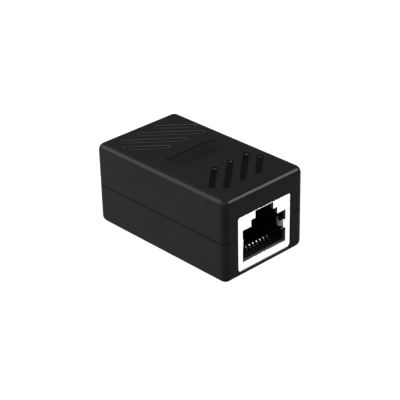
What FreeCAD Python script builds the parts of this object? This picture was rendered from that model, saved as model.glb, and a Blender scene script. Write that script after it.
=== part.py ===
import FreeCAD
import Part
import os
from math import cos, pi, radians, sin

# Shielded RJ45 inline coupler: a two-part snap-together casing round a small circuit board that
# carries two shielded 8-contact sockets, back to back, so that two network cables plug together
# end to end.
#
# Row frame, in millimetres: +Z is up, +Y runs along the cable and +X across it. The origin is the
# middle of the casing's underside, on the surface that it stands on. Each socket is modelled in a
# frame of its own: x across, y into the socket from its metal face, z up from the underside of its
# metal shield. The circuit board lies above the sockets, which hang under it with their latch slots
# towards it and their contacts away from it.

V = FreeCAD.Vector

# ---------------------------------------------------------------- casing
case_width = 22.5
case_length = 38.2
case_height = 18.6
edge_radius = 1.6          # every outer edge and corner
wall = 1.5                 # sides, ends and roof
floor = 1.42               # the sockets stand on it, level with the sills of the two windows
parting_height = 9.15      # where the two halves meet
seam_chamfer = 0.14        # breaks the edge of each half, so the seam shows as a fine V groove

# The lower half's lip stands up inside a rebate in the upper half. Two ridges a side snap into
# grooves there.
lip_height = 1.1
lip_thickness = 0.65
lip_clearance = 0.08
ridge_rise = 0.22
ridge_height = 0.6
ridge_length = 6.0
ridge_place = 9.0          # from the middle of the casing to the middle of a ridge

rib_thickness = 1.0
rib_clearance = 0.05       # between the ribs of the lower half and the socket that they hold
front_rib_place = 4.0      # side ribs, measured into the socket from its face
back_rib_margin = 3.7      # and from its back
guide_margin = 8.1         # from the casing's end to the ribs that guide the board's long edges
hold_down_margin = 3.0     # from the casing's end to the ribs from the roof that press on the board
hold_down_length = 1.8
hold_down_overlap = 1.0    # how far they reach in over the board

# ---------------------------------------------------------------- relief in the top face
slot_width = 1.35
slot_depth = 0.5
slot_angle = 41.0          # from the X axis
slots_each_end = 4
slot_pitch = {"front": 2.92, "rear": 3.25}         # square to the slots
slot_shift = 0.2           # of the slots past the middle of their field, square to themselves
slot_side_margin = {"front": 2.6, "rear": 2.1}     # a field square to the casing cuts the slots off
slot_panel_margin = {"front": 3.75, "rear": 3.35}
slot_end_margin = {"front": 3.8, "rear": 3.3}

panel_width = 13.4
panel_length = 5.7
panel_depth = 0.2
panel_corner_radius = 0.5
bar_count = 8              # plain raised bars in the panel, one for each contact
bar_pitch = 1.35
bar_width = 0.55
bar_length = 3.2
bar_height = 0.15
bar_offset = 0.4           # towards the rear end

# ---------------------------------------------------------------- socket shield, formed from sheet metal
shield_width = 14.8
sheet = 0.25
shield_top_radius = 0.4
shield_bottom_radius = 0.8
flange_depth = 2.6         # how far the shield's front edge turns back over the board side
face_recess = 0.2          # the metal face lies this far inside the end of the casing
window_gap = 0.1           # between the shield and the window in the casing
sockets_apart = 3.6        # between the backs of the two shields
corner_slit = 0.12         # between the folded-up rear plate and the sides
tab_width = 1.2
tab_places = (4.6, 11.0)   # solder tabs along each side
tab_above_board = 0.7
catch_width = 2.0          # windows in the shield's sides that catch the housing's ramps
catch_height = 1.6
catch_place = 9.2
catch_level = 4.6
catch_gap = 0.05
ramp_rise = 0.2

spring_bottom = 3.0        # the grounding spring on each side, above the socket's floor
spring_width = 1.95
spring_root = 0.42         # how far the spring's bend stands into the opening
spring_bend = 0.3
spring_lean = 8.0          # degrees inwards
spring_length = 1.0
spring_tip_bend = 0.8
spring_tip_turn = 38.0
spring_tip_length = 0.5
spring_anchor = 0.4        # how far the spring's root overlaps the face

# ---------------------------------------------------------------- socket opening and plastic housing
socket_width = 12.2
socket_height = 7.2
key_width = 7.38           # the step that the plug's latch passes through
key_height = 1.5
latch_width = 5.06         # the narrow slot for the latch's finger tab
latch_strip = 0.15         # of the face left over that slot
socket_back_wall = 5.4     # from the socket's end to the shield's back
front_wall = 1.7           # the latch catches behind this wall
latch_chamber_depth = 8.6
housing_inset = 0.1        # the plastic opening is this much narrower than the metal one, all round
mouth_chamfer = 0.4
housing_fit = 0.05         # between the housing and the shield's sides
spring_pocket_depth = 0.4  # in the socket's side walls, for the pressed-in springs
spring_pocket_length = 4.6
spring_pocket_gap = 0.2

peg_radius = 1.4           # locating pegs that go into the board
peg_place_x = 5.5
peg_place_y = 6.35
peg_clearance = 0.06
peg_below_board_top = 0.2
standoff_width = 1.4       # pads on the housing that the board lies on
standoff_gap = 0.3         # from the shield's front flange to the first pads
standoff_margin = 0.15     # from the last pads to the housing's back

# ---------------------------------------------------------------- contacts and their carrier
contact_count = 8
contact_pitch = 1.016
contact_width = 0.45
contact_thickness = 0.28
contact_nose = 2.4         # the foremost point of the bend, from the shield's face
contact_nose_radius = 1.05
contact_slope = 26.0       # degrees, rising into the socket
contact_tip_gap = 0.3      # from the free end to the socket's back wall
contact_heel_radius = 0.6
tail_margins = (3.3, 1.2)  # odd and even contacts, from the shield's back
tail_above_board = 0.9
slot_play = 0.15           # over the width, between a contact and its slot in the housing

channel_front = 2.1        # the channel for the carrier, under the socket's floor
channel_width = 9.0
floor_slot_margin = 3.6    # from the contact slots in the floor to the socket's back wall
comb_depth = 0.9           # slots for the contacts' free ends in the socket's back wall
comb_height = 5.9
carrier_front = 4.6        # the carrier's tongue starts here
carrier_block_depth = 4.2  # the block behind the socket, up to the shield's back
carrier_board_gap = 1.8
carrier_fit = 0.05

# ---------------------------------------------------------------- circuit board
board_thickness = 1.2
board_width = 16.6
board_end_gap = 0.4
board_edge_gap = 0.1       # to the guide ribs
tail_hole_radius = 0.42
tab_hole_gap = 0.2
flat_count = 10            # of a hidden drilled hole

# ---------------------------------------------------------------- how the height is shared out
# The plug's opening, the board and the tails have heights of their own. What the casing's height
# leaves over is shared out between the room under the socket, over its key and over the tails.
fixed_height = wall + floor + board_thickness + tail_above_board + socket_height + key_height
spare_height = case_height - fixed_height
socket_floor = 0.377 * spare_height        # above the shield's underside
shield_height = socket_floor + socket_height + key_height + 0.35 * spare_height
channel_floor = 0.32 * socket_floor
channel_roof = 0.735 * socket_floor
contact_run_height = (channel_floor + channel_roof) / 2
carrier_height = shield_height - carrier_board_gap

# ---------------------------------------------------------------- how the length is shared out
shield_depth = (case_length - sockets_apart) / 2 - face_recess
shield_back = shield_depth - sheet
socket_depth = shield_depth - socket_back_wall
carrier_back_start = shield_depth - carrier_block_depth
floor_slot_end = socket_depth - floor_slot_margin
rib_places = (front_rib_place, shield_depth - back_rib_margin)
standoff_places = (flange_depth + standoff_gap, shield_back - standoff_margin - standoff_width)
tail_rows = [shield_depth - margin for margin in tail_margins]

# ---------------------------------------------------------------- levels and places shared by the pieces
board_underside = floor + shield_height
board_top = board_underside + board_thickness
board_length = case_length - 2 * (wall + board_end_gap)
half_length = case_length / 2
inside_width = case_width - 2 * wall
inside_length = case_length - 2 * wall
roof_underside = case_height - wall
into_wall = wall / 2       # how deep ribs and posts are rooted in the wall or roof that carries them
socket_shoulder = socket_floor + socket_height
key_top = socket_shoulder + key_height
housing_side = shield_width / 2 - sheet - housing_fit
housing_top = shield_height - sheet
shield_side_top = shield_height - shield_top_radius
first_contact = -contact_pitch * (contact_count - 1) / 2
contact_centres = [first_contact + contact_pitch * i for i in range(contact_count)]
well_past = 2 * case_length  # for cutters that run right out of a piece
ENDS = ("front", "rear")


# ================================================================ plain shapes
def box(x0, x1, y0, y1, z0, z1):
    """A box between two corners."""
    return Part.makeBox(x1 - x0, y1 - y0, z1 - z0, V(x0, y0, z0))


def centred_box(width, y0, y1, z0, z1):
    """A box that lies evenly about the plane x = 0."""
    return box(-width / 2, width / 2, y0, y1, z0, z1)


def mirrored_pair(shape):
    """A shape and its mirror image in the plane x = 0, as a list."""
    return [shape, shape.mirror(V(0, 0, 0), V(1, 0, 0))]


def prism(corners, y0, y1):
    """A prism along Y whose section is the polygon through the given (x, z) corners."""
    outline = [V(x, y0, z) for x, z in corners]
    return Part.Face(Part.makePolygon(outline + outline[:1])).extrude(V(0, y1 - y0, 0))


def upright_edges(shape):
    """The edges of a shape that run straight along Z."""
    return [e for e in shape.Edges if e.tangentAt(e.FirstParameter).cross(V(0, 0, 1)).Length < 1e-6]


def level_edges(shape, z):
    """The edges of a shape that lie wholly at one height."""
    return [e for e in shape.Edges if abs(e.BoundBox.ZMin - z) + abs(e.BoundBox.ZMax - z) < 1e-5]


def rounded_plate(width, length, z0, z1, radius):
    """An upright prism about the Z axis, whose plan is a rectangle with rounded corners."""
    plate = centred_box(width, -length / 2, length / 2, z0, z1)
    return plate.makeFillet(radius, upright_edges(plate))


def stadium(width, y0, y1, z0, z1):
    """An upright slot form along Y with full-round ends."""
    radius = width / 2
    ends = [Part.makeCylinder(radius, z1 - z0, V(0, y, z0)) for y in (y0 + radius, y1 - radius)]
    return centred_box(width, y0 + radius, y1 - radius, z0, z1).fuse(ends).removeSplitter()


def tunnel(width, z0, z1, y0, y1, bottom_radius, top_radius):
    """A prism along Y: a rectangle with one radius at its bottom corners and one at its top."""
    block = centred_box(width, y0, y1, z0, z1)
    middle = (z0 + z1) / 2
    for radius, upper in ((bottom_radius, False), (top_radius, True)):
        along = [e for e in block.Edges if abs(e.tangentAt(e.FirstParameter).y) > 0.999]
        corners = [e for e in along if abs(e.CenterOfMass.x) > width / 2 - 1e-6]
        block = block.makeFillet(radius, [e for e in corners if (e.CenterOfMass.z > middle) == upper])
    return block


def drill(radius, x, y, z0, z1):
    """A cutter for a hidden drilled hole, a prism whose flats touch the hole's radius."""
    reach = radius / cos(pi / flat_count)
    corners = [(2 * i + 1) * pi / flat_count for i in range(flat_count)]
    outline = [V(x + reach * cos(a), y + reach * sin(a), z0) for a in corners]
    return Part.Face(Part.makePolygon(outline + outline[:1])).extrude(V(0, 0, z1 - z0))


def formed_strip(start, heading, moves, thickness, width):
    """A strip of constant thickness, bent in the XY plane and standing up along Z by its width.

    Its middle line begins at start, heading that many degrees from +X. Each move is a straight
    length, or a pair (radius, turn) with the turn in degrees, positive to the left.
    """

    def beside(point, angle, offset):
        return V(point[0] - offset * sin(radians(angle)), point[1] + offset * cos(radians(angle)), 0)

    half = thickness / 2
    stations = [(start, heading, None)]
    for move in moves:
        point, angle, _ = stations[-1]
        if isinstance(move, tuple):
            radius, turn = move
            side = radius if turn > 0 else -radius
            centre = beside(point, angle, side)

            def along_arc(share):
                on_arc = beside((centre.x, centre.y), angle + turn * share, -side)
                return (on_arc.x, on_arc.y)

            middle = (along_arc(0.5), angle + turn / 2)
            stations.append((along_arc(1.0), angle + turn, middle))
        else:
            step = (point[0] + move * cos(radians(angle)), point[1] + move * sin(radians(angle)))
            stations.append((step, angle, None))
    edges = []
    for offset in (half, -half):
        for (point, angle, _), (end, end_angle, middle) in zip(stations, stations[1:]):
            a = beside(point, angle, offset)
            b = beside(end, end_angle, offset)
            if middle:
                edges.append(Part.Arc(a, beside(*middle, offset), b).toShape())
            else:
                edges.append(Part.makeLine(a, b))
    for point, angle, _ in (stations[0], stations[-1]):
        edges.append(Part.makeLine(beside(point, angle, half), beside(point, angle, -half)))
    return Part.Face(Part.Wire(Part.__sortEdges__(edges))).extrude(V(0, 0, width))


def in_casing(shape, end):
    """A shape of the socket's own frame, put in the casing's front (-Y) or rear (+Y) end."""
    placed = shape.copy()
    placed.translate(V(0, face_recess - half_length, floor))
    if end == "rear":
        placed.rotate(V(0, 0, 0), V(0, 0, 1), 180)
    return placed


# ================================================================ casing
def casing_half(z0, z1):
    """The solid block of one half, with the outer rounding, its parting edge broken all round."""
    block = centred_box(case_width, -half_length, half_length, 0, case_height)
    block = block.makeFillet(edge_radius, block.Edges)
    block = block.common(centred_box(well_past, -well_past, well_past, z0, z1))
    return block.makeChamfer(seam_chamfer, level_edges(block, parting_height))


def casing_inside():
    """The space inside the casing. Its corners are square, inside the outer rounding."""
    return centred_box(inside_width, -inside_length / 2, inside_length / 2, floor, roof_underside)


def windows():
    """The two windows, one through each end wall, that the metal noses of the sockets look out of."""
    window = tunnel(
        shield_width + 2 * window_gap,
        0,
        shield_height + window_gap,
        -2 * wall,
        2 * wall,
        shield_bottom_radius,
        shield_top_radius + window_gap,
    )
    return [in_casing(window, end) for end in ENDS]


def lip_ring(clearance):
    """The lip that aligns the halves, grown outwards and upwards by a clearance."""
    reach = lip_thickness + clearance
    half_ring = inside_length / 2 + reach
    top = parting_height + lip_height + clearance
    ring = centred_box(inside_width + 2 * reach, -half_ring, half_ring, parting_height, top)
    return ring.cut(casing_inside())


def snap_ridges(clearance):
    """Ridges of triangular section on the lip's long sides, two a side, grown by a clearance."""
    foot = inside_width / 2 + lip_thickness
    peak = foot + ridge_rise + clearance
    level = parting_height + lip_height / 2
    half_height = ridge_height / 2 + clearance
    half_ridge = ridge_length / 2 + clearance
    section = [
        (foot - into_wall / 2, level - half_height),
        (foot, level - half_height),
        (peak, level),
        (foot, level + half_height),
        (foot - into_wall / 2, level + half_height),
    ]
    ridges = []
    for y in (-ridge_place, ridge_place):
        ridges += mirrored_pair(prism(section, y - half_ridge, y + half_ridge))
    return ridges


def socket_ribs():
    """Ribs on the lower half's floor: one behind each socket and two at each of its sides."""
    reach = shield_width / 2 + rib_clearance
    root = inside_width / 2 + into_wall
    bottom = -floor / 2
    top = parting_height - floor
    back = shield_depth + rib_clearance
    ribs = [centred_box(2 * root, back, back + rib_thickness, bottom, top)]
    for y in rib_places:
        y0 = y - rib_thickness / 2
        ribs += mirrored_pair(box(reach, root, y0, y0 + rib_thickness, bottom, top))
    return [in_casing(rib, end) for rib in ribs for end in ENDS]


def lower_case():
    """The lower half: floor, lip with its snap ridges, ribs that hold the two sockets."""
    clear_of_sockets = shield_width + 2 * (window_gap + rib_thickness)
    doorway = centred_box(clear_of_sockets, -well_past, well_past, parting_height, case_height)
    lip = lip_ring(0).fuse(snap_ridges(0)).cut(doorway)
    half = casing_half(0, parting_height).cut(casing_inside())
    return half.fuse([lip] + socket_ribs()).cut(windows()).removeSplitter()


def top_slots(end):
    """Cutters for the slanting slots at one end of the top face, within their field."""
    slant = radians(slot_angle)
    along = V(cos(slant), sin(slant), 0)
    across = V(-sin(slant), cos(slant), 0)
    radius = slot_width / 2
    field_start = panel_length / 2 + slot_panel_margin[end]
    field_end = half_length - slot_end_margin[end]
    half_x = case_width / 2 - slot_side_margin[end] - radius
    half_y = (field_end - field_start) / 2 - radius
    field_middle = V(0, -(field_start + field_end) / 2, case_height)
    cutters = []
    for i in range(slots_each_end):
        centre = across * (((slots_each_end - 1) / 2 - i) * slot_pitch[end] - slot_shift)
        low = max((-half_x - centre.x) / along.x, (-half_y - centre.y) / along.y)
        high = min((half_x - centre.x) / along.x, (half_y - centre.y) / along.y)
        slot = stadium(slot_width, low - radius, high + radius, -slot_depth, wall)
        slot.rotate(V(0, 0, 0), V(0, 0, 1), slot_angle - 90)
        slot.translate(centre + field_middle)
        if end == "rear":
            slot = slot.mirror(V(0, 0, 0), V(0, 1, 0))
        cutters.append(slot)
    return cutters


def top_panel():
    """Cutter for the sunk panel in the middle of the top face, round a row of raised bars."""
    bottom = case_height - panel_depth
    sunk = rounded_plate(panel_width, panel_length, bottom, case_height + wall, panel_corner_radius)
    first = -bar_pitch * (bar_count - 1) / 2 - bar_width / 2
    y0 = bar_offset - bar_length / 2
    bars = []
    for i in range(bar_count):
        x = first + bar_pitch * i
        top = bottom + bar_height
        bars.append(box(x, x + bar_width, y0, y0 + bar_length, bottom - wall, top))
    return sunk.cut(bars)


def board_ribs():
    """Ribs inside the upper half that guide the board's long edges, and others that hold it down."""
    root = inside_width / 2 + into_wall
    roof_root = roof_underside + into_wall
    edge = board_width / 2
    bottom = parting_height + lip_height + 2 * lip_clearance
    guide = edge + board_edge_gap
    hold_down = edge - hold_down_overlap
    guide_place = half_length - guide_margin
    hold_down_place = half_length - hold_down_margin
    ribs = []
    for y in (-guide_place, 0, guide_place):
        y0 = y - rib_thickness / 2
        ribs += mirrored_pair(box(guide, root, y0, y0 + rib_thickness, bottom, roof_root))
    for y in (-hold_down_place, hold_down_place):
        y0 = y - hold_down_length / 2
        ribs += mirrored_pair(box(hold_down, root, y0, y0 + hold_down_length, board_top, roof_root))
    return ribs


def upper_case():
    """The upper half: roof with its relief, rebate for the lip, ribs for the board."""
    half = casing_half(parting_height, case_height)
    half = half.cut(top_slots("front") + top_slots("rear") + [top_panel()])
    half = half.cut([casing_inside(), lip_ring(lip_clearance)] + snap_ridges(lip_clearance))
    return half.fuse(board_ribs()).cut(windows()).removeSplitter()


# ================================================================ socket
def socket_opening(inset, top, y0, y1):
    """The stepped opening for a plug and its latch: the wide mouth, the key step, the latch slot."""
    wide = socket_width / 2 - inset
    key = key_width / 2 - inset
    latch = latch_width / 2 - inset
    low = socket_floor + inset
    shoulder = socket_shoulder - inset
    step = key_top - inset
    right = [(wide, low), (wide, shoulder), (key, shoulder), (key, step), (latch, step), (latch, top)]
    left = [(-x, z) for x, z in reversed(right)]
    return prism(right + left, y0, y1)


def grounding_spring():
    """The spring at the right of the opening: metal of the face turned back into the socket."""
    spring = formed_strip(
        (socket_width / 2 + spring_anchor, sheet / 2),
        180,
        [
            spring_anchor + spring_root - spring_bend - sheet / 2,
            (spring_bend, spring_lean - 90),
            spring_length,
            (spring_tip_bend, -spring_tip_turn),
            spring_tip_length,
        ],
        sheet,
        spring_width,
    )
    spring.translate(V(0, 0, socket_floor + spring_bottom))
    return spring


def shield():
    """The metal shield: a box folded from sheet, open on the board side behind its front flange."""
    bottom_radius = shield_bottom_radius
    top_radius = shield_top_radius
    body = tunnel(shield_width, 0, shield_height, 0, shield_depth, bottom_radius, top_radius)
    inside = tunnel(
        shield_width - 2 * sheet,
        sheet,
        shield_height - sheet,
        sheet,
        shield_back,
        bottom_radius - sheet,
        top_radius - sheet,
    )
    far = shield_width
    inner_side = shield_width / 2 - sheet
    slit_start = shield_back - corner_slit
    slit = box(inner_side, far, slit_start, shield_back, bottom_radius, shield_height)
    catch = box(
        inner_side,
        far,
        catch_place - catch_width / 2,
        catch_place + catch_width / 2,
        catch_level - catch_height / 2,
        catch_level + catch_height / 2,
    )
    open_top = centred_box(well_past, flange_depth, well_past, shield_side_top, well_past)
    opening = socket_opening(0, shield_height - latch_strip, -sheet, 2 * sheet)
    body = body.cut([inside, open_top, opening] + mirrored_pair(slit) + mirrored_pair(catch))
    tab_top = shield_height + board_thickness + tab_above_board
    additions = mirrored_pair(grounding_spring())
    for y in tab_places:
        y0 = y - tab_width / 2
        tab = box(inner_side, shield_width / 2, y0, y0 + tab_width, shield_side_top - sheet, tab_top)
        additions += mirrored_pair(tab)
    return body.fuse(additions).removeSplitter()


def housing_cavity():
    """Cutters behind the housing's mouth: socket, latch chamber, contact slots, pockets."""
    wide = socket_width - 2 * housing_inset
    low = socket_floor + housing_inset
    high = socket_shoulder - housing_inset
    cuts = [
        centred_box(wide, front_wall, socket_depth, low, high),
        centred_box(key_width - 2 * housing_inset, front_wall, latch_chamber_depth, high, shield_height),
        centred_box(channel_width, channel_front, carrier_back_start, channel_floor, channel_roof),
        centred_box(channel_width, carrier_back_start, shield_depth, channel_floor, shield_height),
    ]
    half_slot = (contact_width + slot_play) / 2
    comb_end = socket_depth + comb_depth
    for x in contact_centres:
        cuts.append(box(x - half_slot, x + half_slot, channel_front, floor_slot_end, channel_floor, low))
        cuts.append(box(x - half_slot, x + half_slot, socket_depth, comb_end, low, low + comb_height))
    spring_low = socket_floor + spring_bottom - spring_pocket_gap
    spring_high = spring_low + spring_width + 2 * spring_pocket_gap
    near = wide / 2 - sheet
    far = wide / 2 + spring_pocket_depth
    pocket = box(near, far, 0, spring_pocket_length, spring_low, spring_high)
    return cuts + mirrored_pair(pocket)


def housing_extras():
    """What stands out of the housing: pegs and pads for the board, a catch ramp on each flank."""
    root = housing_top - sheet
    peg_top = shield_height + board_thickness - peg_below_board_top
    peg = Part.makeCylinder(peg_radius, peg_top - root, V(peg_place_x, peg_place_y, root))
    half_catch = catch_height / 2 - catch_gap
    ramp = prism(
        [
            (housing_side - sheet, catch_level - half_catch),
            (housing_side + ramp_rise, catch_level - half_catch),
            (housing_side, catch_level + half_catch),
            (housing_side - sheet, catch_level + half_catch),
        ],
        catch_place - catch_width / 2 + catch_gap,
        catch_place + catch_width / 2 - catch_gap,
    )
    extras = mirrored_pair(peg) + mirrored_pair(ramp)
    x0 = channel_width / 2
    x1 = x0 + standoff_width
    for y in standoff_places:
        extras += mirrored_pair(box(x0, x1, y, y + standoff_width, root, shield_height))
    return extras


def housing():
    """The plastic body of a socket: stepped mouth, plug space, latch chamber, carrier pocket."""
    inner_bottom = shield_bottom_radius - sheet
    inner_top = shield_top_radius - sheet
    body = tunnel(2 * housing_side, sheet, housing_top, sheet, shield_back, inner_bottom, inner_top)
    body = body.cut(socket_opening(housing_inset, shield_height, 0, front_wall))
    mouth = [
        e
        for e in body.Edges
        if e.BoundBox.YMax < sheet + 1e-5
        and abs(e.CenterOfMass.x) < socket_width / 2
        and socket_floor < e.CenterOfMass.z < housing_top - 1e-5
    ]
    body = body.makeChamfer(mouth_chamfer, mouth)
    return body.cut(housing_cavity()).fuse(housing_extras()).removeSplitter()


def contact(index):
    """One contact: board tail, heel, run under the floor, nose, spring that meets the plug."""
    row = tail_rows[index % 2]
    top = shield_height + board_thickness + tail_above_board
    nose_centre = contact_nose + contact_thickness / 2 + contact_nose_radius
    slope = radians(contact_slope)
    slope_start = nose_centre - contact_nose_radius * sin(slope)
    slope_length = (socket_depth - contact_tip_gap - slope_start) / cos(slope)
    strip = formed_strip(
        (row, top),
        -90,
        [
            top - contact_run_height - contact_heel_radius,
            (contact_heel_radius, -90),
            row - contact_heel_radius - nose_centre,
            (contact_nose_radius, contact_slope - 180),
            slope_length,
        ],
        contact_thickness,
        contact_width,
    )
    # The strip is drawn flat, with its length along X: X turns into Y, Y into Z and Z into X.
    strip.rotate(V(0, 0, 0), V(1, 1, 1), 120)
    strip.translate(V(contact_centres[index] - contact_width / 2, 0, 0))
    return strip


def carrier_channels():
    """Channels through the carrier, one round each contact, with room for the heel's bend."""
    half = contact_thickness / 2
    low = contact_run_height - half
    heel_top = contact_run_height + contact_heel_radius
    channels = []
    for i, x in enumerate(contact_centres):
        row = tail_rows[i % 2]
        x0 = x - contact_width / 2
        x1 = x + contact_width / 2
        run = box(x0, x1, 0, row + half, low, contact_run_height + half)
        heel = box(x0, x1, row - contact_heel_radius, row + half, low, heel_top)
        tail = box(x0, x1, row - half, row + half, low, shield_height)
        channels.append(run.fuse([heel, tail]).removeSplitter())
    return channels


def contact_carrier():
    """The carrier of the contacts: a tongue under the socket and a block behind it."""
    width = channel_width - 2 * carrier_fit
    back = shield_back - carrier_fit
    top = channel_roof - carrier_fit
    tongue = centred_box(width, carrier_front, carrier_back_start + 2 * carrier_fit, channel_floor, top)
    block = centred_box(width, carrier_back_start + carrier_fit, back, channel_floor, carrier_height)
    return tongue.fuse(block).cut(carrier_channels()).removeSplitter()


def circuit_board():
    """The board that joins the sockets, with holes for the tails, the pegs and the tabs."""
    board = centred_box(board_width, -board_length / 2, board_length / 2, board_underside, board_top)
    z0 = shield_height - board_thickness
    z1 = shield_height + 2 * board_thickness
    holes = []
    for i, x in enumerate(contact_centres):
        holes.append(drill(tail_hole_radius, x, tail_rows[i % 2], z0, z1))
    holes += mirrored_pair(drill(peg_radius + peg_clearance, peg_place_x, peg_place_y, z0, z1))
    x0 = shield_width / 2 - sheet - tab_hole_gap
    x1 = shield_width / 2 + tab_hole_gap
    half_hole = tab_width / 2 + tab_hole_gap
    for y in tab_places:
        holes += mirrored_pair(box(x0, x1, y - half_hole, y + half_hole, z0, z1))
    return board.cut([in_casing(hole, end) for hole in holes for end in ENDS])


# ================================================================ the whole coupler
def build():
    """Every piece in its place, by node name."""
    socket = {"shield": shield(), "housing": housing(), "contact_carrier": contact_carrier()}
    for i in range(contact_count):
        socket[f"contact_{i + 1}"] = contact(i)
    pieces = {"lower_case": lower_case(), "upper_case": upper_case(), "circuit_board": circuit_board()}
    for end in ENDS:
        for name, shape in socket.items():
            pieces[f"{end}_{name}"] = in_casing(shape, end)
    return pieces


os.makedirs("parts", exist_ok=True)
for node, shape in build().items():
    shape.exportStep(f"parts/{node}.step")
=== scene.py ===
"""Looks of a shielded RJ45 inline coupler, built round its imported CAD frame.

A black two-part casing holds two shielded sockets back to back on a small circuit board. Sizes in
the classes are in millimetres, and meshes are in metres. +Y runs along the cable and +Z is up.
"""

import sys

import logging
from dataclasses import dataclass, field
from enum import Enum
from math import cos, radians, sin
from typing import Callable

import bmesh
import bpy
import numpy as np
from mathutils import Matrix, Vector


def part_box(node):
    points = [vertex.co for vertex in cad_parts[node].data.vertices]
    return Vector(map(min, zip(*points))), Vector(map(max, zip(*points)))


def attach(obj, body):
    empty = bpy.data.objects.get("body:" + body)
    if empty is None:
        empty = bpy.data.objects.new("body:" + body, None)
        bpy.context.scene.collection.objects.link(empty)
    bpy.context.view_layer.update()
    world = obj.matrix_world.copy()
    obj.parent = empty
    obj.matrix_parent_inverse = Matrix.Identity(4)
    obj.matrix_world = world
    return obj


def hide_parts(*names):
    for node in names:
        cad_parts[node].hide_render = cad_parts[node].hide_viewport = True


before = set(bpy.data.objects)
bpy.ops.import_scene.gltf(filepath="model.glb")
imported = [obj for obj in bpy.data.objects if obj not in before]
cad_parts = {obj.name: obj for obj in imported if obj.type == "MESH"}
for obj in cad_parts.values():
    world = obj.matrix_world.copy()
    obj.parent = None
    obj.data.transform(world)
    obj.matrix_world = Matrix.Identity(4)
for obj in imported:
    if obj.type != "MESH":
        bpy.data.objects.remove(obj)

MM = 1e-3
ON_FACE = 0.01          # millimetres: as close as this counts as on a face
FLAT = 0.999            # a face whose normal has at least this share of Z lies flat
UPRIGHT = 0.001         # and one with at most this share stands upright
MITRE = 0.7071          # share of each axis in a direction at 45 degrees to both
SHADED_SMOOTH = 32.0    # degrees: gentler edges are shaded smooth
SQUARE = 60.0           # degrees: edges that turn by more count as square
MERGED = 0.002          # millimetres: points as close as this become one
LEVELLED = 0.4          # degrees: faces that turn by less than this become one
LARGE_FACES = 80        # of 100: above 50, larger faces have more say in the shading
Triple = tuple[float, float, float]
Colour = Triple
Socket = bpy.types.NodeSocket
Chooser = Callable[[np.ndarray, np.ndarray], np.ndarray]
log = logging.getLogger("coupler")


class Slot(Enum):
    """The record's material slots."""

    CASING = "casing"
    SHIELD = "shield"
    SOCKET = "socket_plastic"
    CARRIER = "carrier_plastic"
    CONTACT = "contact"
    BOARD = "board"


class End(Enum):
    """The two ends of the coupler, with the sense of Y that leads into the socket there."""

    FRONT = 1
    REAR = -1

    @property
    def prefix(self) -> str:
        """The start of the names of this end's nodes."""
        return self.name.lower()


# ---------------------------------------------------------------- meshes
def ring_quads(rows: int, columns: int) -> np.ndarray:
    """Faces of a tube whose rows are closed rings of points.

    The face at (row, column) joins that point, the next in its ring, and the two above them.

    Args:
        rows: number of rings.
        columns: number of points in each ring.

    Returns:
        An array of four point numbers for each face.
    """
    row, column = np.meshgrid(np.arange(rows - 1), np.arange(columns), indexing="ij")
    after = (column + 1) % columns
    quads = [row * columns + column, row * columns + after]
    quads += [(row + 1) * columns + after, (row + 1) * columns + column]
    return np.stack(quads, axis=-1).reshape(-1, 4)


def tube_object(name: str, tubes: list[np.ndarray]) -> bpy.types.Object:
    """Makes one mesh of closed tubes, each with a flat face over its first and last ring.

    Args:
        name: the object's name.
        tubes: arrays of rings, points in a ring, and coordinates, in millimetres.

    Returns:
        The new object, smooth, with its faces outwards.
    """
    points: list[np.ndarray] = []
    faces: list[list[int]] = []
    start = 0
    for tube in tubes:
        rows, columns = tube.shape[:2]
        faces += (ring_quads(rows, columns) + start).tolist()
        faces.append(list(range(start + columns - 1, start - 1, -1)))
        faces.append(list(range(start + (rows - 1) * columns, start + rows * columns)))
        points.append(tube.reshape(-1, 3) * MM)
        start += rows * columns
    mesh = bpy.data.meshes.new(name)
    mesh.from_pydata(np.concatenate(points).tolist(), [], faces)
    face_outwards(mesh)
    mesh.polygons.foreach_set("use_smooth", np.ones(len(mesh.polygons), bool))
    return linked(name, mesh)


def face_outwards(mesh: bpy.types.Mesh) -> None:
    """Turns the faces of a closed mesh outwards.

    Args:
        mesh: the mesh, which is changed.
    """
    work = bmesh.new()
    work.from_mesh(mesh)
    bmesh.ops.recalc_face_normals(work, faces=work.faces)
    work.to_mesh(mesh)
    work.free()
    mesh.update()


def linked(name: str, mesh: bpy.types.Mesh) -> bpy.types.Object:
    """Puts a mesh into the scene.

    Args:
        name: the new object's name.
        mesh: its mesh.

    Returns:
        The new object.
    """
    piece = bpy.data.objects.new(name, mesh)
    bpy.context.scene.collection.objects.link(piece)
    return piece


def merged_copy(node: str, name: str) -> bpy.types.Object:
    """Copies a CAD node as one joined mesh, whose flat areas are single faces.

    Args:
        node: the CAD node to copy.
        name: the new object's name.

    Returns:
        The copy, which rides on nothing yet.
    """
    work = bmesh.new()
    work.from_mesh(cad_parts[node].data)
    bmesh.ops.remove_doubles(work, verts=work.verts, dist=MERGED * MM)
    turn = radians(LEVELLED)
    bmesh.ops.dissolve_limit(work, angle_limit=turn, verts=work.verts, edges=work.edges)
    mesh = bpy.data.meshes.new(name)
    work.to_mesh(mesh)
    work.free()
    mesh.materials.clear()
    return linked(name, mesh)


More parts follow.
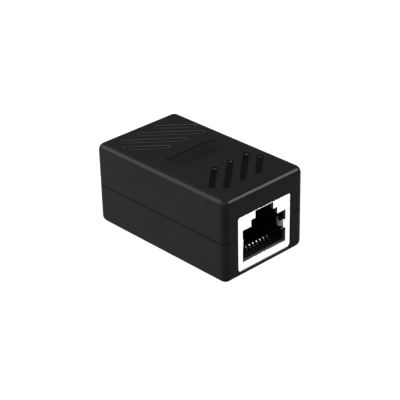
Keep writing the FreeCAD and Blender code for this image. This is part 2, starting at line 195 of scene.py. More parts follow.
def edge_facts(mesh: bpy.types.Mesh) -> tuple[np.ndarray, np.ndarray]:
    """Finds how sharp each edge is, and where.

    The angle is that between the normals of the edge's two faces.

    Args:
        mesh: a mesh whose edges have two faces each.

    Returns:
        The angles in degrees, and the edges' two ends in millimetres.
    """
    loops = np.empty(len(mesh.loops), int)
    mesh.loops.foreach_get("edge_index", loops)
    totals = np.empty(len(mesh.polygons), int)
    mesh.polygons.foreach_get("loop_total", totals)
    normals = np.empty(len(mesh.polygons) * 3)
    mesh.polygons.foreach_get("normal", normals)
    owners = np.repeat(np.arange(len(totals)), totals)
    order = np.argsort(loops, kind="stable")
    first = np.searchsorted(loops[order], np.arange(len(mesh.edges)))
    second = np.minimum(first + 1, len(order) - 1)
    normals = normals.reshape(-1, 3)
    one, other = normals[owners[order[first]]], normals[owners[order[second]]]
    angles = np.degrees(np.arccos(np.clip((one * other).sum(1), -1, 1)))
    ends = np.empty(len(mesh.edges) * 2, int)
    mesh.edges.foreach_get("vertices", ends)
    points = np.empty(len(mesh.vertices) * 3)
    mesh.vertices.foreach_get("co", points)
    return angles, points.reshape(-1, 3)[ends.reshape(-1, 2)] / MM


def face_facts(mesh: bpy.types.Mesh) -> tuple[np.ndarray, np.ndarray]:
    """Finds where each face is, and which way it looks.

    Args:
        mesh: any mesh.

    Returns:
        The faces' middles in millimetres, and their normals.
    """
    centres = np.empty(len(mesh.polygons) * 3)
    mesh.polygons.foreach_get("center", centres)
    normals = np.empty(len(mesh.polygons) * 3)
    mesh.polygons.foreach_get("normal", normals)
    return centres.reshape(-1, 3) / MM, normals.reshape(-1, 3)


def rounding(
    piece: bpy.types.Object, name: str, radius: float, segments: int, weights: np.ndarray
) -> bpy.types.BevelModifier:
    """Rounds the weighted edges of a piece.

    Args:
        piece: the merged copy.
        name: the rounding's name.
        radius: how far the fullest rounding reaches from its edge, in millimetres.
        segments: faces across a rounding.
        weights: each edge's share of the radius.

    Returns:
        The rounding's modifier.
    """
    layer = piece.data.attributes.new(name + "_weight", "FLOAT", "EDGE")
    layer.data.foreach_set("value", weights.astype(np.float32))
    bevel = piece.modifiers.new(name, "BEVEL")
    bevel.limit_method = "WEIGHT"
    bevel.edge_weight = name + "_weight"
    bevel.width = radius * MM
    bevel.segments = segments
    bevel.use_clamp_overlap = False
    bevel.loop_slide = False
    bevel.miter_outer = "MITER_ARC"
    return bevel


def soften(piece: bpy.types.Object, radius: float, segments: int, choose: Chooser) -> None:
    """Rounds chosen edges of a merged copy, and shades it smooth between its sharp edges.

    Args:
        piece: the merged copy.
        radius: how far the fullest rounding reaches from its edge, in millimetres.
        segments: faces across a rounding.
        choose: takes the edges' angles and ends, and gives each edge's share of the radius.
    """
    mesh = piece.data
    angles, ends = edge_facts(mesh)
    shares = choose(angles, ends)
    sharp = mesh.attributes.get("sharp_edge")
    sharp = sharp or mesh.attributes.new("sharp_edge", "BOOLEAN", "EDGE")
    sharp.data.foreach_set("value", (angles > SHADED_SMOOTH) & (shares == 0))
    mesh.polygons.foreach_set("use_smooth", np.ones(len(mesh.polygons), bool))
    rounding(piece, "rounding", radius, segments, shares)
    flat = piece.modifiers.new("flat_faces", "WEIGHTED_NORMAL")
    flat.keep_sharp = True
    flat.weight = LARGE_FACES


def fit(piece: bpy.types.Object, slot: Slot, *nodes: str) -> None:
    """Lets a piece ride on the frame and stand for CAD nodes.

    Args:
        piece: the finished piece.
        slot: the material slot that it takes its finish from; not used.
        nodes: the CAD nodes that it replaces, if any.
    """
    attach(piece, "root")
    if nodes:
        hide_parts(*nodes)
    stands_for = ", ".join(nodes) or "itself"
    log.info("%s: %d faces, for %s", piece.name, len(piece.data.polygons), stands_for)


# ---------------------------------------------------------------- finishes
class Graph:
    """The shader graph of a material or of the world, which grows node by node."""

    # most of a noise pattern's values lie between these two
    NOISE_RANGE = (0.3, 0.7)

    def __init__(self, owner: bpy.types.Material | bpy.types.World) -> None:
        """Empties the owner's graph.

        Args:
            owner: the material or the world that the graph belongs to.
        """
        owner.use_nodes = True
        self.owner = owner
        self.tree = owner.node_tree
        self.tree.nodes.clear()

    def add(
        self, kind: str, inputs: dict[str | int, object] | None = None, **settings: object
    ) -> bpy.types.Node:
        """Adds a node.

        Args:
            kind: the node's type, without its ShaderNode prefix.
            inputs: a value, or another node's output, for inputs by name or number.
            settings: the node's own settings.

        Returns:
            The new node.
        """
        node = self.tree.nodes.new("ShaderNode" + kind)
        for key, value in settings.items():
            setattr(node, key, value)
        for key, value in (inputs or {}).items():
            if isinstance(value, Socket):
                self.tree.links.new(value, node.inputs[key])
            else:
                node.inputs[key].default_value = value
        return node

    def math(self, operation: str, *values: object) -> Socket:
        """Works out a value from others, which are numbers or other nodes' outputs."""
        return self.add("Math", dict(enumerate(values)), operation=operation).outputs[0]

    def step(self, value: Socket, low: float, high: float) -> Socket:
        """Rises smoothly from 0 at the low value to 1 at the high one."""
        inputs = {"Value": value, "From Min": low, "From Max": high}
        return self.add("MapRange", inputs, interpolation_type="SMOOTHSTEP").outputs["Result"]

    def places(self) -> Socket:
        """Each point's place in the coupler's own frame, in metres."""
        return self.add("TexCoord").outputs["Object"]

    def noise(self, size: float, detail: float, stretch: Triple = (1, 1, 1)) -> Socket:
        """Adds a cloudy pattern.

        Args:
            size: of its patches, in millimetres.
            detail: how many finer layers it has.
            stretch: how many times longer the patches are along X, Y and Z.

        Returns:
            The pattern, from 0 to 1.
        """
        scale = tuple(1 / s for s in stretch)
        places = self.add("Mapping", {"Vector": self.places(), "Scale": scale}).outputs["Vector"]
        inputs = {"Vector": places, "Scale": 1 / (size * MM), "Detail": detail}
        return self.add("TexNoise", inputs).outputs["Fac"]

    def between(self, value: Socket, low: float, high: float) -> Socket:
        """Spreads the middle part of a pattern over a range of values.

        Args:
            value: the pattern.
            low: what its low values become.
            high: what its high values become.

        Returns:
            The new values.
        """
        least, most = self.NOISE_RANGE
        inputs = {"Value": value, "From Min": least, "From Max": most}
        inputs.update({"To Min": low, "To Max": high})
        return self.add("MapRange", inputs).outputs["Result"]

    def blend(self, value: Socket, low: Colour, high: Colour) -> Socket:
        """Colours a pattern.

        Args:
            value: the pattern.
            low: the colour of its low values.
            high: the colour of its high values.

        Returns:
            The colours.
        """
        ramp = self.add("ValToRGB", {"Fac": value})
        for element, colour, place in zip(ramp.color_ramp.elements, (low, high), self.NOISE_RANGE):
            element.color = (*colour, 1)
            element.position = place
        return ramp.outputs["Color"]

    def relief(
        self, height: Socket, depth: float, strength: float = 1.0, under: Socket | None = None
    ) -> Socket:
        """Turns a pattern into relief.

        Args:
            height: the pattern.
            depth: from its lowest to its highest, in millimetres.
            strength: share of the relief that shows.
            under: the coarser relief that this one lies on.

        Returns:
            The surface's new normal.
        """
        inputs = {"Height": height, "Distance": depth * MM, "Strength": strength}
        if under:
            inputs["Normal"] = under
        return self.add("Bump", inputs).outputs["Normal"]

    def surface(self, inputs: dict[str | int, object]) -> bpy.types.Material:
        """Closes the graph with a surface shader.

        Args:
            inputs: the shader's inputs by name.

        Returns:
            The finished material.
        """
        shader = self.add("BsdfPrincipled", inputs)
        self.add("OutputMaterial", {"Surface": shader.outputs["BSDF"]})
        return self.owner


@dataclass(frozen=True)
class MouldedPlastic:
    """Grey to black plastic from a spark-eroded mould: fine pits, cloudy gloss, faint flow marks.

    Lengths are in millimetres, and gloss is the shader's specular level.
    """

    name: str
    dark: float
    light: float
    roughness: tuple[float, float]
    gloss: float
    pit: float = 0.16
    pit_depth: float = 0.004
    wave: float = 4.0       # size of the coarser relief under the pits, in pits
    flow: float = 5.0       # size of the flow marks
    cloud: float = 0.9      # size of the clouds in the gloss

    def material(self) -> bpy.types.Material:
        """Makes the material.

        Returns:
            A new material.
        """
        graph = Graph(bpy.data.materials.new(self.name))
        flow = graph.noise(self.flow, detail=3.0, stretch=(1, 2.5, 1))
        pits = graph.noise(self.pit, detail=3.0)
        waves = graph.noise(self.pit * self.wave, detail=2.0)
        coarse = graph.relief(waves, self.pit_depth, strength=0.5)
        roughness = graph.between(graph.noise(self.cloud, detail=4.0), *self.roughness)
        return graph.surface(
            {
                "Base Color": graph.blend(flow, (self.dark,) * 3, (self.light,) * 3),
                "Roughness": roughness,
                "Specular IOR Level": self.gloss,
                "Normal": graph.relief(pits, self.pit_depth, strength=0.7, under=coarse),
            }
        )


@dataclass(frozen=True)
class PlatedSheet:
    """Nickel-plated strip: rolling lines along X, cloudy brightness, hairline scuffs."""

    name: str
    dark: Colour
    light: Colour
    roughness: tuple[float, float]
    line: float = 0.05
    line_depth: float = 0.0008
    scuff: float = 0.09     # width of the hairlines
    tone: float = 2.5       # size of the patches of colour
    cloud: float = 0.8      # size of the clouds in the gloss

    def material(self) -> bpy.types.Material:
        """Makes the material.

        Returns:
            A new material.
        """
        graph = Graph(bpy.data.materials.new(self.name))
        lines = graph.noise(self.line, detail=3.0, stretch=(60, 1, 1))
        hairs = graph.noise(self.scuff, detail=2.0, stretch=(1, 1, 25))
        scuffs = graph.relief(hairs, self.line_depth, strength=0.3)
        clouds = graph.noise(self.cloud, detail=3.0, stretch=(8, 1, 1))
        tones = graph.noise(self.tone, detail=3.0)
        return graph.surface(
            {
                "Base Color": graph.blend(tones, self.dark, self.light),
                "Metallic": 1.0,
                "Roughness": graph.between(clouds, *self.roughness),
                "Normal": graph.relief(lines, self.line_depth, strength=0.5, under=scuffs),
            }
        )


@dataclass(frozen=True)
class SolderMask:
    """Lacquered circuit board: copper tracks under the lacquer run along Y."""

    name: str
    lacquer: Colour
    over_copper: Colour
    track_pitch: float
    track_edge: tuple[float, float] = (0.22, 0.27)    # as shares of the pitch
    track_depth: float = 0.035
    weave: float = 0.35                               # size of the glass cloth's cells
    weave_depth: float = 0.01
    cloud: float = 0.6                                # size of the clouds in the gloss
    roughness: tuple[float, float] = (0.18, 0.32)

    def material(self) -> bpy.types.Material:
        """Makes the material.

        Returns:
            A new material.
        """
        graph = Graph(bpy.data.materials.new(self.name))
        x = graph.add("SeparateXYZ", {"Vector": graph.places()}).outputs["X"]
        share = graph.math("DIVIDE", x, self.track_pitch * MM)
        track = graph.step(graph.math("PINGPONG", share, 0.5), *self.track_edge)
        cloth = graph.noise(self.weave, detail=3.0)
        weave = graph.relief(cloth, self.weave_depth, strength=0.3)
        clouds = graph.noise(self.cloud, detail=3.0)
        return graph.surface(
            {
                "Base Color": graph.blend(track, self.lacquer, self.over_copper),
                "Roughness": graph.between(clouds, *self.roughness),
                "Normal": graph.relief(track, self.track_depth, strength=0.8, under=weave),
            }
        )


Finish = MouldedPlastic | PlatedSheet | SolderMask
Rule = tuple[np.ndarray, Finish]
CASING_OUTSIDE = MouldedPlastic("satin_black_abs", 0.0104, 0.0117, (0.22, 0.28), 0.02, 0.16, 0.0007)
CASING_EDGE = MouldedPlastic("rubbed_black_abs", 0.0104, 0.0117, (0.2, 0.25), 0.075, 0.16, 0.0007)
PANEL_FLOOR = MouldedPlastic("panel_black_abs", 0.0085, 0.0095, (0.2, 0.25), 0.05, 0.3, 0.0003)
SLOT_FLOOR = MouldedPlastic("slot_black_abs", 0.0055, 0.0062, (0.25, 0.3), 0.05, 0.3, 0.0003)
# painted light: the rear slots' floors are about twice as light as the top face, as if lit
LIT_SLOT_FLOOR = MouldedPlastic("slot_floor_painted_light", 0.019, 0.023, (0.3, 0.4), 0.05, 0.16, 0.0007)
# painted highlight: the rear slots' rims are about three times as light as the top face
RIM_HIGHLIGHT = MouldedPlastic("slot_rim_painted_highlight", 0.03, 0.036, (0.3, 0.4), 0.08, 0.16, 0.0007)
# glossy far ends of the front slots, whose colour is painted dark as shade, like the walls
POLISHED_SHADED_END = MouldedPlastic("polished_black_abs_painted_shade", 0.003, 0.004, (0.14, 0.18), 1.0, 0.3, 0.0003)
# painted shade: the slots' walls are much darker than the top face
SHADED_WALL = MouldedPlastic("shaded_black_abs", 0.0015, 0.0025, (0.2, 0.25), 0.07, 0.3, 0.0003)
# painted shade: the joint's bevels are darker and matt, for the shade in the parting groove
JOINT_SHADE = MouldedPlastic("joint_painted_shade", 0.005, 0.006, (0.8, 0.9), 0.01)
HOUSING_PLASTIC = MouldedPlastic("semigloss_black_pbt", 0.004, 0.006, (0.26, 0.36), 0.06, 0.25, 0.001)
# painted reflection: the mouths' slopes are about ten times as light as the housing, for the white they
# reflect
MOUTH_REFLECTION = MouldedPlastic("mouth_painted_reflection", 0.04, 0.055, (0.35, 0.45), 0.03, 0.25, 0.001)
CARRIER_PLASTIC = MouldedPlastic("matt_black_pbt", 0.006, 0.009, (0.45, 0.6), 0.4)
NICKEL = PlatedSheet("rolled_nickel_plate", (0.93, 0.925, 0.915), (0.985, 0.98, 0.975), (0.2, 0.3))
SHEARED = PlatedSheet("sheared_steel_edge", (0.2, 0.2, 0.2), (0.3, 0.3, 0.3), (0.35, 0.5), 0.04, 0.002)
SPRING = PlatedSheet("dull_nickel_spring", (0.85, 0.83, 0.83), (0.95, 0.93, 0.93), (0.5, 0.6))
# painted shade: the springs' gold plate is darkened to a near-black grey, for the dark inside of the
# socket that they reflect, so only lamp highlights show
SHADED_GOLD = PlatedSheet("gold_plate_painted_shade", (0.056, 0.0525, 0.047), (0.08, 0.075, 0.068), (0.05, 0.08), 0.2, 0.0001)
SOLDER = PlatedSheet("tin_solder", (0.55, 0.55, 0.56), (0.75, 0.75, 0.76), (0.22, 0.4), 0.3, 0.006)
LACQUER = SolderMask("green_solder_mask", (0.006, 0.045, 0.018), (0.012, 0.1, 0.035), 1.016)


def paint(mesh: bpy.types.Mesh, finishes: tuple[Finish, ...], rules: list[Rule]) -> None:
    """Gives each face of a mesh its finish.

    Args:
        mesh: a mesh without materials.
        finishes: all that the mesh takes, of which the first covers what no rule chooses.
        rules: which faces take which finish, later ones over earlier ones.
    """
    for finish in finishes:
        mesh.materials.append(finish.material())
    numbers = np.zeros(len(mesh.polygons), int)
    for chosen, finish in rules:
        numbers[chosen] = finishes.index(finish)
    mesh.polygons.foreach_set("material_index", numbers)


def dress_node(node: str, finish: Finish) -> None:
    """Gives a CAD node, whose shape stays as it is, its finish.

    Args:
        node: the CAD node.
        finish: its finish.
    """
    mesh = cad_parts[node].data
    material = finish.material()
    mesh.materials.clear()
    mesh.materials.append(material)
    log.info("%s: finished as %s", node, material.name)


# ---------------------------------------------------------------- casing
@dataclass
class Casing:
    """The two snap-together halves, with slots and a sunk panel in the top face."""

    relief_depth: float = 0.55              # a little more than the slots' depth
    panel_reach: float = 4.0                # along Y from the middle; past it lie the slots
    floor_radius: float = 0.32
    floor_margin: float = 0.1               # an edge this near the relief's bottom is a floor's
    floor_faces: int = 4
    rim_radius: float = 0.16
    rim_faces: int = 3
    window_radius: float = 0.1
    edge_reach: float = 1.6
    edge_tilt: float = 0.35                 # least share of Z in a rubbed edge's normal
    joint_height: float = 9.15
    joint_reach: float = 0.2
    joint_tilt: tuple[float, float] = (0.6, 0.8)    # share of Z in the joint's bevels
    polished_way: Triple = (-MITRE, -MITRE, 0.0)
    polished_share: float = 0.8             # how nearly a polished face looks that way
    finishes: tuple[Finish, ...] = (
        CASING_OUTSIDE,
        CASING_EDGE,
        PANEL_FLOOR,
        SLOT_FLOOR,
        # from here: painted shade on walls, polished ends and joint, a painted highlight on rims,
        # painted light on rear slot floors
        SHADED_WALL,
        POLISHED_SHADED_END,
        JOINT_SHADE,
        RIM_HIGHLIGHT,
        LIT_SLOT_FLOOR,
    )
    roof: float = field(init=False)
    end: float = field(init=False)
    side: float = field(init=False)

    def __post_init__(self) -> None:
        """Reads where the top face, the rear end and the right side are."""
        self.side, self.end, self.roof = (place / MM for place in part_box("upper_case")[1])

    def build(self) -> None:
        """Builds both halves."""
        for node in ("lower_case", "upper_case"):
            half = merged_copy(node, node + "_shell")
            paint(half.data, self.finishes, self.rules(half.data))
            rims = self.rims(*edge_facts(half.data))
            # the rear slots' rims are rounded and take a lighter finish, a painted highlight
            rubbed = rounding(half, "rubbing", self.rim_radius, self.rim_faces, rims)
            rubbed.material = self.finishes.index(RIM_HIGHLIGHT)
            soften(half, self.floor_radius, self.floor_faces, self.shares)
            fit(half, Slot.CASING, node)

    def rims(self, angles: np.ndarray, ends: np.ndarray) -> np.ndarray:
        """Chooses the rims of the rear slots.

        Args:
            angles: the edges' angles, in degrees.
            ends: the edges' two ends, in millimetres.

        Returns:
            For each edge, 1 where it is part of a rim, and 0 elsewhere.
        """
        top = (angles > SQUARE) & (ends[:, :, 2].min(1) > self.roof - ON_FACE)
        return (top & (ends[:, :, 1].min(1) > self.panel_reach)).astype(float)

    def shares(self, angles: np.ndarray, ends: np.ndarray) -> np.ndarray:
        """Chooses roundings: the slots' floors and the window edges.

        Args:
            angles: the edges' angles, in degrees.
            ends: the edges' two ends, in millimetres.

        Returns:
            Each edge's share of the slot floors' radius.
        """
        low, high = ends[:, :, 2].min(1), ends[:, :, 2].max(1)
        along = np.abs(ends[:, :, 1]).min(1)
        square = angles > SQUARE
        bottom = self.roof - self.relief_depth
        deep = (low > bottom) & (high < bottom + self.floor_margin)
        shares = np.zeros(len(angles))
        shares[square & (along > self.end - ON_FACE)] = self.window_radius / self.floor_radius
        shares[square & deep & (along > self.panel_reach)] = 1.0
        return shares

    def rules(self, mesh: bpy.types.Mesh) -> list[Rule]:
        """Chooses the finishes of the rubbed top edges, the relief and the joint line.

        The slots' walls are painted dark as shade, and so are the far ends of the front slots, which
        are also polished. The rear slots' floors are painted lighter as painted light, and the joint
        line's bevels are painted dark as shade. The rear slots' rims get a lighter finish, a painted
        highlight, with their rounding.

        Args:
            mesh: a half's mesh.

        Returns:
            Which faces take which finish, later ones over earlier ones.
        """
        centres, normals = face_facts(mesh)
        across, along = np.abs(centres[:, 0]), np.abs(centres[:, 1])
        height, up = centres[:, 2], np.abs(normals[:, 2])
        flat, upright, rear = up > FLAT, up < UPRIGHT, centres[:, 1] > 0
        inside = across < self.side - self.edge_reach
        edge = (height > self.roof - self.edge_reach) & (up > self.edge_tilt) & ~flat
        edge &= ~inside | (along > self.end - self.edge_reach)
        sunk = (height > self.roof - self.relief_depth) & (height < self.roof - 2 * ON_FACE) & inside
        slots = sunk & (along > self.panel_reach)
        toward = normals @ np.array(self.polished_way) > self.polished_share
        joint = (up > self.joint_tilt[0]) & (up < self.joint_tilt[1])
        joint &= np.abs(height - self.joint_height) < self.joint_reach
        return [
            (edge, CASING_EDGE),
            (sunk & flat, PANEL_FLOOR),
            (slots & flat, SLOT_FLOOR),
            # painted light on the rear slots' floors
            (slots & flat & rear, LIT_SLOT_FLOOR),
            # painted shade on the slots' walls
            (slots & upright, SHADED_WALL),
            # painted shade, with gloss, on the front slots' far ends
            (slots & upright & toward & ~rear, POLISHED_SHADED_END),
            # painted shade on the joint's bevels
            (joint, JOINT_SHADE),
        ]


# ---------------------------------------------------------------- sockets
@dataclass
class SocketFrame:
    """Where a socket sits: its own depth and height, turned into the coupler's frame."""

    end: End
    face: float = field(init=False)
    underside: float = field(init=False)

    def __post_init__(self) -> None:
        """Reads the shield's face and underside."""
        low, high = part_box(f"{self.end.prefix}_shield")
        self.face = (low.y if self.end is End.FRONT else high.y) / MM
        self.underside = low.z / MM

    def depth(self, y: np.ndarray | float) -> np.ndarray | float:
        """How far a Y lies behind the face."""
        return (y - self.face) * self.end.value

    def place(self, x: np.ndarray, depth: np.ndarray, height: np.ndarray) -> np.ndarray:
        """Turns depths behind the face and heights above the underside into points."""
        y = self.face + depth * self.end.value
        return np.stack(np.broadcast_arrays(x, y, self.underside + height), axis=-1)


@dataclass
class Contacts:
    """The eight gold-plated springs of a socket, and the solder round their tails."""

    at: SocketFrame
    count: int = 8
    thickness: float = 0.28
    nose_radius: float = 1.05
    nose_stations: int = 25
    heel_radius: float = 0.6
    heel_stations: int = 9
    slope: float = 26.0                               # degrees
    slope_end: float = 11.4                           # from the shield's face
    slope_stations: int = 8
    tail_step: float = 0.5                            # last station of the tail, from its end
    free_step: float = 0.2                            # last even station, from the free end
    end_steps: tuple[float, ...] = (0.0, 0.02, 0.06)  # stations by either end, from that end
    end_shares: tuple[float, ...] = (0.7, 0.92, 1.0)  # of the full section, at those steps
    section_power: float = 5.0                        # higher is squarer
    section_points: int = 24
    solder_reach: float = 0.78
    solder_height: float = 0.75
    solder_sink: float = 0.02                         # into the board
    solder_power: float = 2.4                         # higher falls more steeply
    solder_points: int = 20
    solder_rings: int = 9
    tail_reach: float = 0.27                          # from the tail's middle to its corner

    def build(self) -> None:
        """Builds the springs, then their solder."""
        prefix = self.at.end.prefix
        # the springs' gold is darkened as painted shade
        material = SHADED_GOLD.material()
        joints = []
        for number in range(1, self.count + 1):
            node = f"{prefix}_contact_{number}"
            low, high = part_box(node)
            near, far = sorted(self.at.depth(y / MM) for y in (low.y, high.y))
            bottom, top = (z / MM - self.at.underside for z in (low.z, high.z))
            row = far - self.thickness / 2
            x = (low.x + high.x) / (2 * MM)
            path = self.middle_line(near, row, bottom + self.thickness / 2, top)
            spring = tube_object(node + "_spring", [self.strip(x, (high.x - low.x) / MM, path)])
            spring.data.materials.append(material)
            fit(spring, Slot.CONTACT, node)
            joints.append(self.solder(x, row))
        solder = tube_object(prefix + "_solder_joints", joints)
        solder.data.materials.append(SOLDER.material())
        fit(solder, Slot.CONTACT)

    def middle_line(self, near: float, row: float, run: float, top: float) -> np.ndarray:
        """Samples a spring's middle line in the plane of depth and height.

        The tail falls straight to the heel, a quarter circle. A level run leads to the nose, an
        arc that turns by 180 degrees less the slope. The free end is straight.

        Args:
            near: depth of the nose's foremost point.
            row: depth of the tail.
            run: height of the level run.
            top: height of the tail's end.

        Returns:
            One row a station: depth, height, heading in radians, and share of the full section.
        """
        heel = np.radians(np.linspace(0, -90, self.heel_stations))
        nose = np.radians(np.linspace(270, 90 + self.slope, self.nose_stations))
        heel_depth = row + self.heel_radius * (np.cos(heel) - 1)
        heel_height = run + self.heel_radius * (np.sin(heel) + 1)
        nose_depth = near + self.thickness / 2 + self.nose_radius * (np.cos(nose) + 1)
        nose_height = run + self.nose_radius * (np.sin(nose) + 1)
        rise = radians(self.slope)
        length = (self.slope_end - nose_depth[-1]) / cos(rise)
        steps, closing = np.array(self.end_steps), np.array(self.end_shares)
        tail = np.append(top - steps, top - self.tail_step)
        free = np.linspace(0, length - self.free_step, self.slope_stations + 1)[1:]
        free = np.append(free, length - steps[::-1])
        full = np.ones(1 + len(heel) + len(nose) + self.slope_stations)
        fall, turn = np.full(len(tail), radians(-90)), radians(90)
        free_depth, free_height = nose_depth[-1] + free * cos(rise), nose_height[-1] + free * sin(rise)
        columns = (
            (np.full(len(tail), row), heel_depth, nose_depth, free_depth),
            (tail, heel_height, nose_height, free_height),
            (fall, heel - turn, nose - turn, np.full(len(free), rise)),
            (closing, full, closing[::-1]),
        )
        return np.stack([np.concatenate(column) for column in columns], axis=1)

    def strip(self, x: float, width: float, path: np.ndarray) -> np.ndarray:
        """Carries the strip's section along its middle line.

        The section is a superellipse: each of its coordinates is a cosine or sine raised to
        two over the power. It stands square to the line, across X and across the thickness.

        Args:
            x: middle of the strip.
            width: across X.
            path: the stations of the middle line.

        Returns:
            Rings of points in the coupler's frame.
        """
        turn = np.linspace(0, 2 * np.pi, self.section_points, endpoint=False)
        power = 2 / self.section_power
        across = np.sign(np.cos(turn)) * np.abs(np.cos(turn)) ** power * width / 2
        through = np.sign(np.sin(turn)) * np.abs(np.sin(turn)) ** power * self.thickness / 2
        depth, height, heading, share = path.T[:, :, None]
        off = through * share
        depth, height = depth - off * np.sin(heading), height + off * np.cos(heading)
        return self.at.place(x + across * share, depth, height)

    def solder(self, x: float, row: float) -> np.ndarray:
        """A cone of solder whose radius falls steeply from the pad, then follows the tail up.

        The radius is the tail's reach, plus what the pad's reach has over it times the share
        of the height that is left, raised to the power.

        Args:
            x: middle of the tail.
            row: depth of the tail.

        Returns:
            Rings of points in the coupler's frame.
        """
        board_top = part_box("circuit_board")[1].z / MM - self.at.underside
        share = np.linspace(0, 1, self.solder_rings)[:, None]
        turn = np.linspace(0, 2 * np.pi, self.solder_points, endpoint=False)
        spread = (self.solder_reach - self.tail_reach) * (1 - share) ** self.solder_power
        radius = self.tail_reach + spread
        height = board_top - self.solder_sink + share * self.solder_height
        return self.at.place(x + radius * np.cos(turn), row + radius * np.sin(turn), height)


@dataclass
class SocketBody:
    """A socket's metal shield and the plastic inside it."""

    at: SocketFrame
    sheet: float = 0.25
    sheet_radius: float = 0.05
    sheet_angle: float = SQUARE                       # least turn of a rounded edge
    cut_tilt: float = 0.1                             # most share of Y in a cut edge's normal
    mouth_radius: float = 0.07
    mouth_angle: float = 40.0
    mouth_depth: float = 2.2
    mitre_slack: float = 0.02
    spring_reach: tuple[float, float] = (4.0, 6.2)    # from the middle, along X
    edge_faces: int = 2

    def build(self) -> None:
        """Builds the shield and the housing, and dresses the contact carrier."""
        self.build_shield(self.at.end.prefix + "_shield")
        self.build_housing(self.at.end.prefix + "_housing")
        dress_node(self.at.end.prefix + "_contact_carrier", CARRIER_PLASTIC)

    def build_shield(self, node: str) -> None:
        """Builds the shield: plated faces, sheared edges and two dull springs.

        Args:
            node: the shield's CAD node.
        """
        shield = merged_copy(node, node + "_sheet")
        soften(shield, self.sheet_radius, self.edge_faces, self.edges(self.sheet_angle))
        centres, normals = face_facts(shield.data)
        depth, across = self.at.depth(centres[:, 1]), np.abs(centres[:, 0])
        cut = (depth > ON_FACE) & (depth < self.sheet) & (np.abs(normals[:, 1]) < self.cut_tilt)
        near, far = self.spring_reach
        spring = (across > near) & (across < far)
        spring &= (depth > self.sheet) & (depth < self.mouth_depth)
        paint(shield.data, (NICKEL, SHEARED, SPRING), [(cut, SHEARED), (spring, SPRING)])
        fit(shield, Slot.SHIELD, node)

    def build_housing(self, node: str) -> None:
        """Builds the housing, whose sloping mouth is painted much lighter: a painted reflection of the
        white surroundings.

        Args:
            node: the housing's CAD node.
        """
        housing = merged_copy(node, node + "_body")
        soften(housing, self.mouth_radius, self.edge_faces, self.edges(self.mouth_angle))
        centres, normals = face_facts(housing.data)
        slope = np.abs(np.abs(normals[:, 1]) - MITRE) < self.mitre_slack
        mouth = slope & (self.at.depth(centres[:, 1]) < self.mouth_depth)
        # the mouth's slope takes a painted reflection
        paint(housing.data, (HOUSING_PLASTIC, MOUTH_REFLECTION), [(mouth, MOUTH_REFLECTION)])
        fit(housing, Slot.SOCKET, node)

    def edges(self, least: float) -> Chooser:
        """Makes a chooser of the edges near the face.

        Args:
            least: the least angle, in degrees, that a chosen edge turns by.

        Returns:
            A function of the edges' angles and ends, which gives 1 for a chosen edge.
        """

        def choose(angles: np.ndarray, ends: np.ndarray) -> np.ndarray:
            """Gives 1 for each edge that turns enough and lies near the face."""
            near = self.at.depth(ends[:, :, 1]).max(1) < self.mouth_depth
            return ((angles > least) & near).astype(float)

        return choose


@dataclass
class Board:
    """The circuit board between the sockets."""

    node: str = "circuit_board"

    def build(self) -> None:
        """Dresses the board."""
        dress_node(self.node, LACQUER)


# ---------------------------------------------------------------- studio
@dataclass(frozen=True)
class Softbox:
    """A square lamp that looks at the coupler.

    Its level is the share of full white that it gives to a white surface that faces it.
    """

    name: str
    azimuth: float    # 0 is in front, at -Y, and 90 at +X
    elevation: float
    size: float       # metres
    distance: float   # metres
    level: float
    in_gloss: bool = True

    def build(self) -> None:
        """Hangs the lamp."""
        data = bpy.data.lights.new(self.name, "AREA")
        data.shape = "SQUARE"
        data.size = self.size
        # a white surface that faces the lamp is as bright as energy / (pi * distance)**2
        data.energy = self.level * np.pi**2 * self.distance**2
        lamp = bpy.data.objects.new(self.name, data)
        bpy.context.scene.collection.objects.link(lamp)
        way = towards(self.azimuth, self.elevation)
        lamp.location = way * self.distance
        lamp.rotation_euler = way.to_track_quat("Z", "Y").to_euler()
        lamp.visible_glossy = self.in_gloss


def towards(azimuth: float, elevation: float) -> Vector:
    """The unit vector from the coupler that way, in degrees: azimuth 0 is -Y and 90 is +X."""
    a, e = radians(azimuth), radians(elevation)
    return Vector((sin(a) * cos(e), -cos(a) * cos(e), sin(e)))


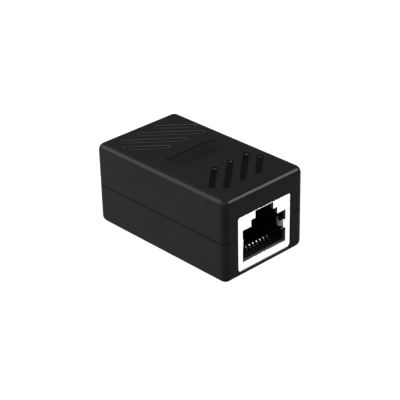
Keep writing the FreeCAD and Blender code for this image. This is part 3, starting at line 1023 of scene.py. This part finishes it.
@dataclass
class Studio:
    """Pale floor, white surroundings, soft lamps, and the camera."""

    azimuth: float = -43.10
    elevation: float = 28.415
    roll: float = -1.354
    distance: float = 278.25
    aim: Triple = (0.2874, -1.306, 9.307)   # across, up the picture, and height above the floor
    lens: float = 120.85
    sensor: float = 36.0
    sight: tuple[float, float] = (0.005, 20.0)    # metres: the nearest and the farthest seen
    floor_reach: float = 3.0                # metres
    floor_cells: int = 8
    floor_drop: float = 0.02                # millimetres below the coupler
    floor_grey: tuple[float, float] = (0.38, 0.4)
    floor_cloud: float = 40.0               # millimetres: size of the floor's patches
    seen_grey: float = 0.25
    surround: float = 0.1                   # level of the light from all round
    floor_glow: float = 0.9
    shade_reach: float = 1.5                # millimetres out from the coupler that the painted shadow in the floor's gloss reaches
    lamps: tuple[Softbox, ...] = (
        Softbox("top_softbox", -48.0, 54.0, 0.16, 0.6, 0.3),
        Softbox("top_left_softbox", -106.0, 53.0, 0.25, 0.6, 0.12),
        Softbox("top_right_softbox", 12.0, 55.0, 0.25, 0.6, 0.12),
        Softbox("front_softbox", 50.0, 34.0, 0.22, 0.6, 0.75),
        Softbox("back_softbox", -143.0, 37.0, 0.34, 0.6, 0.55),
        Softbox("side_softbox", -125.0, 12.0, 0.45, 0.6, 1.9, False),
    )

    def build(self) -> None:
        """Builds the studio."""
        self.hang_camera()
        for lamp in self.lamps:
            lamp.build()
        self.light_world()
        self.lay_floor()
        bpy.context.scene.view_settings.view_transform = "Standard"
        log.info("studio: %d lamps, floor and camera", len(self.lamps))

    def hang_camera(self) -> None:
        """Points the camera at the coupler."""
        back = towards(self.azimuth, self.elevation)
        level = Vector((0, 0, 1)).cross(back).normalized()
        upright = back.cross(level)
        r = radians(self.roll)
        right = cos(r) * level + sin(r) * upright
        up = cos(r) * upright - sin(r) * level
        across, rise, height = self.aim
        place = Vector((0, 0, height)) + across * right + rise * up + self.distance * back
        data = bpy.data.cameras.new("camera")
        data.lens = self.lens
        data.sensor_width = self.sensor
        data.clip_start, data.clip_end = self.sight
        camera = bpy.data.objects.new("camera", data)
        bpy.context.scene.collection.objects.link(camera)
        turn = Matrix((right, up, back)).transposed().to_4x4()
        camera.matrix_world = Matrix.Translation(place * MM) @ turn
        bpy.context.scene.camera = camera

    def seen(self, graph: Graph) -> Socket:
        """Adds a switch that is 1 for what is seen directly, in gloss or through glass.

        Args:
            graph: the graph that it is for.

        Returns:
            The switch, which is 0 for other light.
        """
        path = graph.add("LightPath").outputs
        seen = graph.math("MAXIMUM", path["Is Camera Ray"], path["Is Glossy Ray"])
        return graph.math("MAXIMUM", seen, path["Is Transmission Ray"])

    def light_world(self) -> None:
        """Makes the surroundings white to look at, and an even dim light."""
        world = bpy.data.worlds.new("surroundings")
        bpy.context.scene.world = world
        graph = Graph(world)
        white = (1.0, 1.0, 1.0, 1.0)
        light = graph.add("Background", {"Color": white, "Strength": self.surround}).outputs[0]
        sight = graph.add("Background", {"Color": white, "Strength": 1.0}).outputs[0]
        path = graph.add("LightPath").outputs
        seen = graph.math("MAXIMUM", path["Is Camera Ray"], path["Is Transmission Ray"])
        mixed = graph.add("MixShader", {0: seen, 1: light, 2: sight}).outputs[0]
        graph.add("OutputWorld", {"Surface": mixed})

    def lay_floor(self) -> None:
        """Lays the floor: a flat grid under the coupler, pale, with the coupler's soft shadow."""
        points_across = self.floor_cells + 1
        side = np.linspace(-self.floor_reach, self.floor_reach, points_across)
        x, y = np.meshgrid(side, side, indexing="ij")
        points = np.stack([x, y, np.full_like(x, -self.floor_drop * MM)], axis=-1).reshape(-1, 3)
        cell = np.arange(self.floor_cells)
        first = (cell[:, None] * points_across + cell).reshape(-1)
        beside = first + points_across
        faces = np.stack([first, beside, beside + 1, first + 1], axis=-1)
        mesh = bpy.data.meshes.new("floor")
        mesh.from_pydata(points.tolist(), [], faces.tolist())
        floor = linked("floor", mesh)
        graph = Graph(bpy.data.materials.new("pale_floor"))
        dark, light = self.floor_grey
        cloud = graph.noise(self.floor_cloud, detail=3.0)
        paper = graph.blend(cloud, (dark,) * 3, (light,) * 3)
        plain = graph.add("BsdfDiffuse", {"Color": paper}).outputs[0]
        half = graph.add("BsdfDiffuse", {"Color": (*(self.seen_grey,) * 3, 1)}).outputs[0]
        glow = graph.add("Emission", {"Color": self.glow(graph), "Strength": self.floor_glow}).outputs[0]
        lit = graph.add("AddShader", {0: half, 1: glow}).outputs[0]
        mixed = graph.add("MixShader", {0: self.seen(graph), 1: plain, 2: lit}).outputs[0]
        graph.add("OutputMaterial", {"Surface": mixed})
        graph.owner.cycles.emission_sampling = "NONE"
        mesh.materials.append(graph.owner)

    def glow(self, graph: Graph) -> Socket:
        """The floor's own light: white, but in gloss it fades to black close to the coupler, a painted
        shadow of the coupler where the floor is seen in reflections.

        The fade follows the greater of |x| and |y|, each less half of the coupler's size there.

        Args:
            graph: the floor's graph.

        Returns:
            The light, from 0 to 1.
        """
        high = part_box("lower_case")[1]
        place = graph.add("SeparateXYZ", {"Vector": graph.places()}).outputs
        past = []
        for axis, half in (("X", high.x), ("Y", high.y)):
            past.append(graph.math("SUBTRACT", graph.math("ABSOLUTE", place[axis]), half))
        # painted shadow: close to the coupler the glow seen in gloss fades to black
        faded = graph.step(graph.math("MAXIMUM", *past), 0.0, self.shade_reach * MM)
        direct = graph.math("SUBTRACT", 1.0, graph.add("LightPath").outputs["Is Glossy Ray"])
        return graph.math("MAXIMUM", direct, faded)


def main() -> None:
    """Builds the coupler's looks, piece by piece."""
    logging.basicConfig(level=logging.INFO, format="%(name)s: %(message)s", stream=sys.stdout)
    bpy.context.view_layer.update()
    Studio().build()
    Casing().build()
    Board().build()
    for end in End:
        at = SocketFrame(end)
        SocketBody(at).build()
        Contacts(at).build()


if __name__ == "__main__":
    main()
